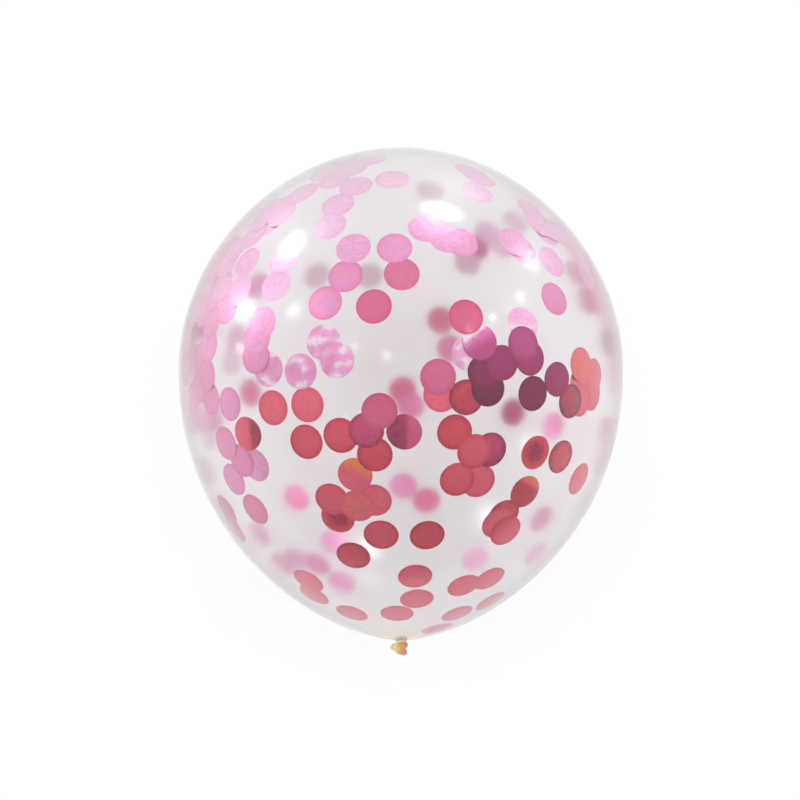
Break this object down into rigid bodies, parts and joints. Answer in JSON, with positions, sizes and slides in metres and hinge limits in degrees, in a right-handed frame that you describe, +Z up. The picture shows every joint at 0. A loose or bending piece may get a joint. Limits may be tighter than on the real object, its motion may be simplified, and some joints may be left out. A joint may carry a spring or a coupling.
{
  "type": "confetti balloon",
  "caption": "Clear inflated party balloon, tied in a knot and lying on its side, with round foil confetti sealed inside.",
  "frame": {"origin": "on the floor, under the middle of the whole balloon's box, as it lies on its side", "axes": "+Y along the balloon's own axis from the knot to the crown, +Z up from the floor, +X across"},
  "size_m": [0.28, 0.322, 0.2785],
  "materials": {
    "clear_latex": "clear stretched latex, thin and glossy, slightly misty",
    "amber_latex": "unstretched latex of the neck, knot, tail and rolled lip, translucent amber",
    "rose_foil": "rose red metallised foil, soft wrinkles, half gloss",
    "pink_foil": "light pink metallised foil, soft wrinkles, half gloss",
    "plum_foil": "plum metallised foil, soft wrinkles, half gloss",
    "coral_foil": "coral metallised foil, soft wrinkles, half gloss"
  },
  "bodies": {
    "root": {"balloon": "clear_latex"}
  },
  "joints": []
}
